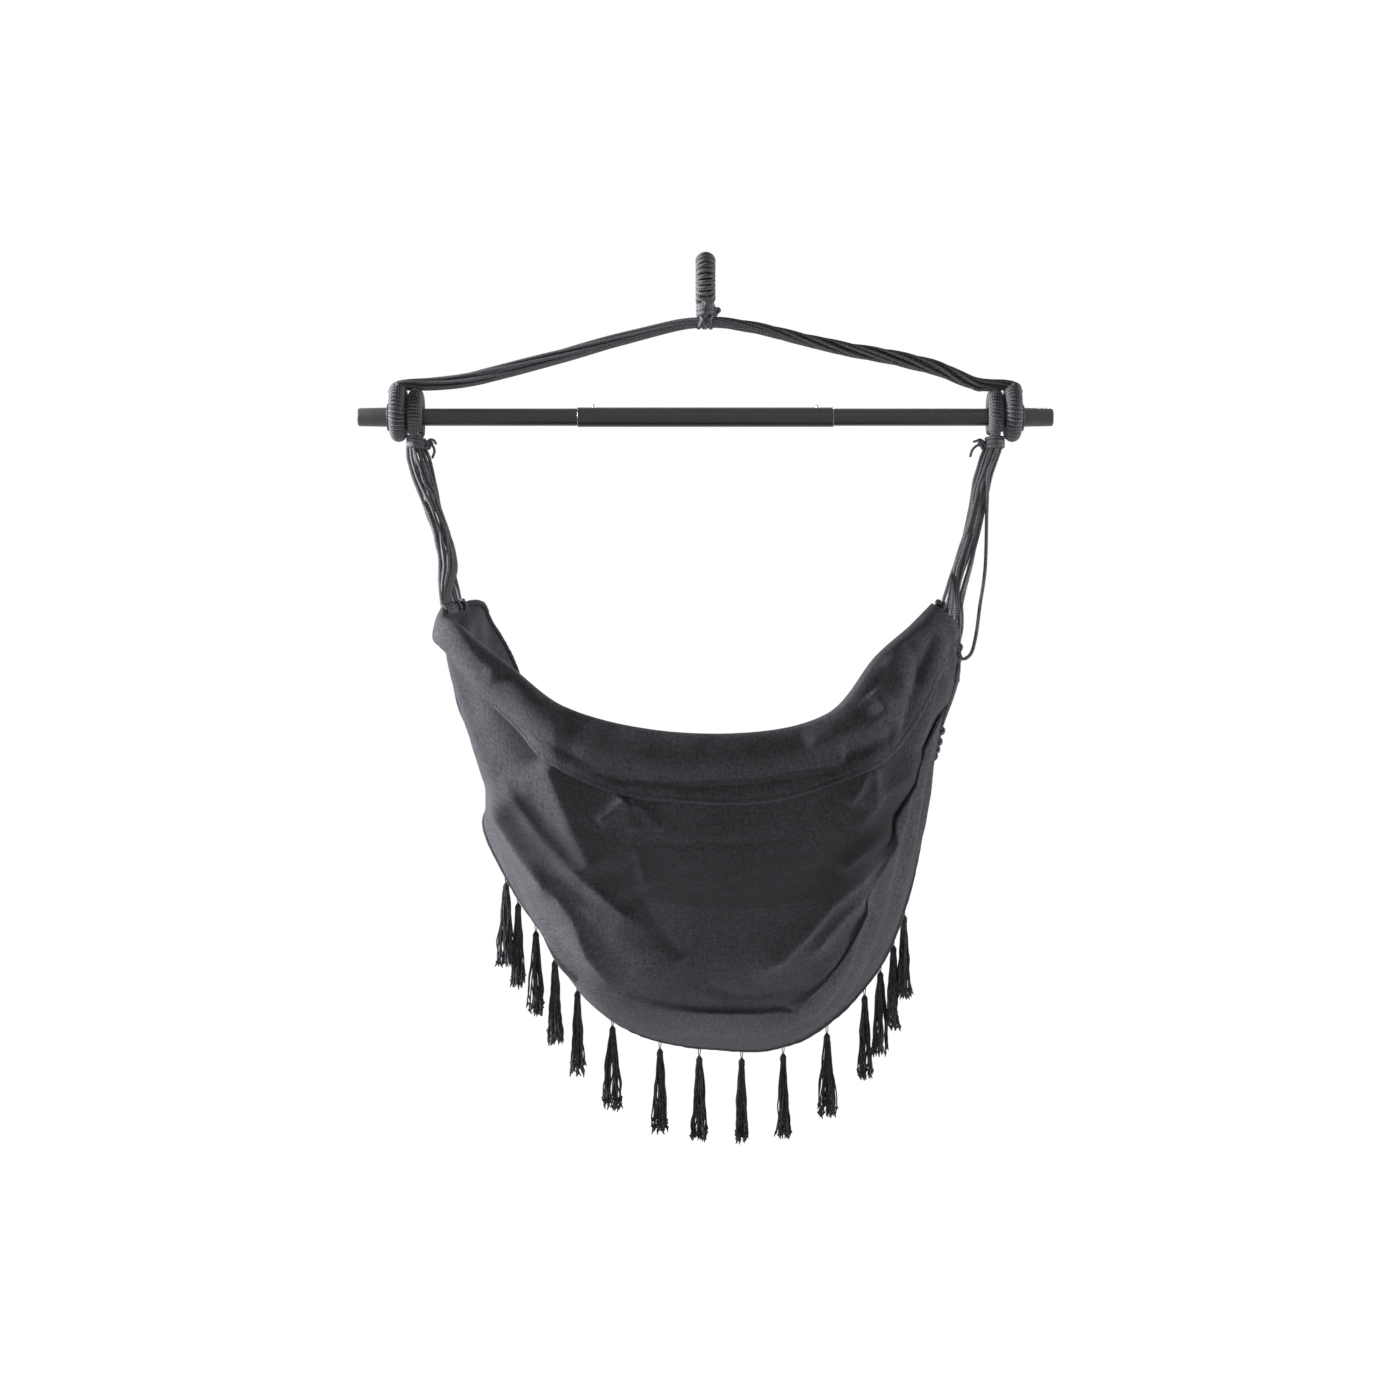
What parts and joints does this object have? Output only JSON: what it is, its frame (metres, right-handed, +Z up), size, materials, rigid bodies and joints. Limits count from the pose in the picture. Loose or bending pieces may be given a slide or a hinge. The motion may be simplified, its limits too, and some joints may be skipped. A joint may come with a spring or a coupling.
{
  "type": "hammock chair",
  "caption": "Hanging hammock chair: a canvas sling with a tasselled front edge, hung by fans of cord from a jointed steel spreader bar on a rope harness with a served loop.",
  "frame": {"origin": "the crown of the hanging loop's hole, where a hook bears", "axes": "+Z up, +X along the spreader bar to the right as seen from behind the chair, +Y from the back of the seat towards the knees"},
  "size_m": [1, 0.4668, 1.3233],
  "materials": {
    "rope": "matte braided cotton cord, charcoal grey",
    "wrap_cord": "matte braided cotton cord, closely wound, charcoal grey",
    "canvas": "washed cotton canvas with a slub weave, charcoal grey",
    "hem_canvas": "gathered canvas hem over a cord, charcoal grey",
    "tassel_yarn": "soft cotton yarn, dark charcoal",
    "tube_paint": "satin near-black powder coat on steel tube",
    "cap_plastic": "matte dark grey moulded plastic",
    "bright_steel": "bright zinc-plated steel"
  },
  "bodies": {
    "hanging_loop": {"hanging_loop_core": "rope", "hanging_loop_serving": "wrap_cord", "hanging_loop_lashing": "wrap_cord"},
    "upper_harness": {"left_harness_bundle": "rope", "left_harness_eye_core": "rope", "left_harness_eye_serving": "wrap_cord", "right_harness_bundle": "rope", "right_harness_eye_core": "rope", "right_harness_eye_serving": "wrap_cord"},
    "spreader_bar": {"middle_tube": "tube_paint", "left_outer_tube": "tube_paint", "left_end_cap": "cap_plastic", "left_button_spring": "bright_steel", "right_outer_tube": "tube_paint", "right_end_cap": "cap_plastic", "right_button_spring": "bright_steel"},
    "left_button": {"left_snap_button": "bright_steel"},
    "right_button": {"right_snap_button": "bright_steel"},
    "seat": {"left_seat_eye_core": "rope", "left_seat_eye_serving": "wrap_cord", "left_seat_eye_lashing": "wrap_cord", "left_tie_tail": "rope", "left_side_hem": "hem_canvas", "right_seat_eye_core": "rope", "right_seat_eye_serving": "wrap_cord", "right_seat_eye_lashing": "wrap_cord", "right_tie_tail": "rope", "right_side_hem": "hem_canvas", "left_seat_cord_1": "rope", "left_seat_cord_2": "rope", "left_seat_cord_3": "rope", "left_seat_cord_4": "rope", "left_seat_cord_5": "rope", "left_seat_cord_6": "rope", "right_seat_cord_1": "rope", "right_seat_cord_2": "rope", "right_seat_cord_3": "rope", "right_seat_cord_4": "rope", "right_seat_cord_5": "rope", "right_seat_cord_6": "rope", "right_slack_cord": "rope", "seat_sheet": "canvas", "back_panel": "canvas", "top_band": "canvas", "front_hem": "hem_canvas", "tassel_01": "tassel_yarn", "tassel_02": "tassel_yarn", "tassel_03": "tassel_yarn", "tassel_04": "tassel_yarn", "tassel_05": "tassel_yarn", "tassel_06": "tassel_yarn", "tassel_07": "tassel_yarn", "tassel_08": "tassel_yarn", "tassel_09": "tassel_yarn", "tassel_10": "tassel_yarn", "tassel_11": "tassel_yarn", "tassel_12": "tassel_yarn", "tassel_13": "tassel_yarn", "tassel_14": "tassel_yarn", "tassel_15": "tassel_yarn"}
  },
  "joints": [
    {"name": "chair_swing", "type": "hinge", "parent": "hanging_loop", "child": "upper_harness", "pos_m": [0, 0, -0.0771], "axis": [1, 0, 0], "range_deg": [-25, 25]},
    {"name": "bar_roll", "type": "hinge", "parent": "upper_harness", "child": "spreader_bar", "pos_m": [0, 0, -0.213], "axis": [1, 0, 0], "continuous": true},
    {"name": "seat_swing", "type": "hinge", "parent": "upper_harness", "child": "seat", "pos_m": [0, 0, -0.213], "axis": [1, 0, 0], "range_deg": [-35, 35]},
    {"name": "left_button_press", "type": "slide", "parent": "spreader_bar", "child": "left_button", "axis": [0, 0, -1], "range_m": [0, 0.0062], "stiffness_N_per_m": 1500, "springref_m": -0.002, "deforming": ["left_button_spring"]},
    {"name": "right_button_press", "type": "slide", "parent": "spreader_bar", "child": "right_button", "axis": [0, 0, -1], "range_m": [0, 0.0062], "stiffness_N_per_m": 1500, "springref_m": -0.002, "deforming": ["right_button_spring"]}
  ]
}
